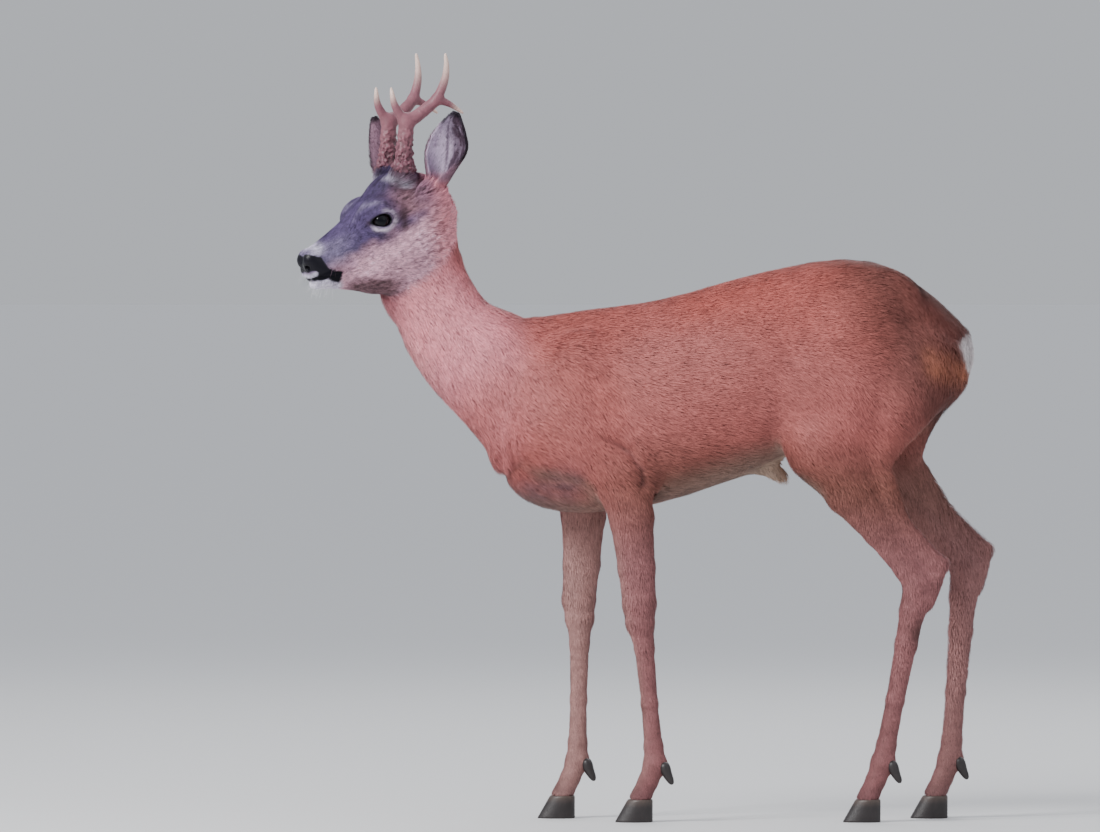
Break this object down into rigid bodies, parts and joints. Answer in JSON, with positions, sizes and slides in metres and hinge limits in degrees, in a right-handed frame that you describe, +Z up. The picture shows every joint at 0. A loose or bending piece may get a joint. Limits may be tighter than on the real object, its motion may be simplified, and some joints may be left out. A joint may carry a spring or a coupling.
{
  "type": "roe deer, standing buck in summer coat, life-size still model",
  "caption": "Life-size standing roe buck in red summer coat, head turned a little to its left, with forked antlers and cloven hooves, as a still model.",
  "frame": {"origin": "centre of the footprint box at the soles of the hooves", "axes": "+Z up, the buck faces -X and its left side is to -Y"},
  "size_m": [0.9146, 0.2036, 1.0083],
  "materials": {
    "coat": "short red-brown summer hair",
    "ear_coat": "thin short hair, paler inside the ear",
    "pale_coat": "short pale hair of the rump patch",
    "nose": "moist black skin",
    "eye": "wet, very dark brown",
    "antler": "pearled brown bone with ivory tips",
    "horn": "dark polished hoof horn"
  },
  "bodies": {
    "root": {"antler_left_beam": "antler", "antler_left_front_tine": "antler", "antler_left_rear_tine": "antler", "antler_left_top": "antler", "antler_right_beam": "antler", "antler_right_front_tine": "antler", "antler_right_rear_tine": "antler", "antler_right_top": "antler", "ear_left": "ear_coat", "ear_right": "ear_coat", "eye_left": "eye", "eye_right": "eye", "foreleg_left_cannon": "coat", "foreleg_left_dewclaw_inner": "horn", "foreleg_left_dewclaw_outer": "horn", "foreleg_left_forearm": "coat", "foreleg_left_hoof_inner": "horn", "foreleg_left_hoof_outer": "horn", "foreleg_left_pastern": "coat", "foreleg_right_cannon": "coat", "foreleg_right_dewclaw_inner": "horn", "foreleg_right_dewclaw_outer": "horn", "foreleg_right_forearm": "coat", "foreleg_right_hoof_inner": "horn", "foreleg_right_hoof_outer": "horn", "foreleg_right_pastern": "coat", "head": "coat", "hindleg_left_cannon": "coat", "hindleg_left_dewclaw_inner": "horn", "hindleg_left_dewclaw_outer": "horn", "hindleg_left_gaskin": "coat", "hindleg_left_hoof_inner": "horn", "hindleg_left_hoof_outer": "horn", "hindleg_left_pastern": "coat", "hindleg_right_cannon": "coat", "hindleg_right_dewclaw_inner": "horn", "hindleg_right_dewclaw_outer": "horn", "hindleg_right_gaskin": "coat", "hindleg_right_hoof_inner": "horn", "hindleg_right_hoof_outer": "horn", "hindleg_right_pastern": "coat", "neck": "coat", "nose": "nose", "tail": "pale_coat", "trunk": "coat"}
  },
  "joints": []
}
